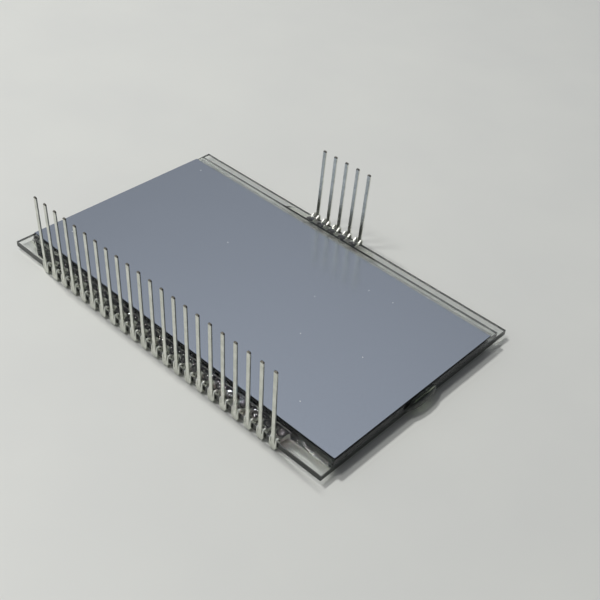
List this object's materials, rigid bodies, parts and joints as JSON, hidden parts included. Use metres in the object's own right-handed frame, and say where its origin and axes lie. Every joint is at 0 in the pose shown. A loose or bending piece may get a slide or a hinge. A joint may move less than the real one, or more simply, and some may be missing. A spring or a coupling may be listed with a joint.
{
  "type": "segment lcd display",
  "caption": "Reflective segment display glass with a long and a short row of stamped clip-on pins along its two ledges.",
  "frame": {"origin": "on the viewing face, the outer face of the front polariser, at the middle of the larger glass in plan", "axes": "+X along the long edges towards the fill seal, +Y from the full pin row to the short pin row, +Z away from the viewer, along the pins"},
  "size_m": [0.072, 0.046, 0.0154],
  "materials": {
    "pin_metal": "satin tin plating",
    "front_glass": "clear polished glass with scribed edges",
    "rear_glass": "clear polished glass with scribed edges",
    "front_polariser": "smooth grey film",
    "rear_polariser": "smooth dark film",
    "reflector_foil": "satin silver-grey foil",
    "edge_seal": "cured sealant",
    "crystal_layer": "clear liquid",
    "crossover_dots": "cured silver paste",
    "fill_seal": "clear cured resin",
    "conductive_paste": "black carbon paste",
    "clear_resin": "clear glossy cured resin"
  },
  "bodies": {
    "root": {"pin_near_01": "pin_metal", "pin_near_02": "pin_metal", "pin_near_03": "pin_metal", "pin_near_04": "pin_metal", "pin_near_05": "pin_metal", "pin_near_06": "pin_metal", "pin_near_07": "pin_metal", "pin_near_08": "pin_metal", "pin_near_09": "pin_metal", "pin_near_10": "pin_metal", "pin_near_11": "pin_metal", "pin_near_12": "pin_metal", "pin_near_13": "pin_metal", "pin_near_14": "pin_metal", "pin_near_15": "pin_metal", "pin_near_16": "pin_metal", "pin_near_17": "pin_metal", "pin_near_18": "pin_metal", "pin_near_19": "pin_metal", "pin_near_20": "pin_metal", "pin_near_21": "pin_metal", "pin_near_22": "pin_metal", "pin_far_01": "pin_metal", "pin_far_02": "pin_metal", "pin_far_03": "pin_metal", "pin_far_04": "pin_metal", "pin_far_05": "pin_metal", "front_glass": "front_glass", "rear_glass": "rear_glass", "front_polariser": "front_polariser", "rear_polariser": "rear_polariser", "reflector_foil": "reflector_foil", "edge_seal": "edge_seal", "crystal_layer": "crystal_layer", "crossover_dots": "crossover_dots", "fill_seal": "fill_seal", "paste_near": "conductive_paste", "paste_far": "conductive_paste", "resin_near": "clear_resin", "resin_far": "clear_resin"}
  },
  "joints": []
}
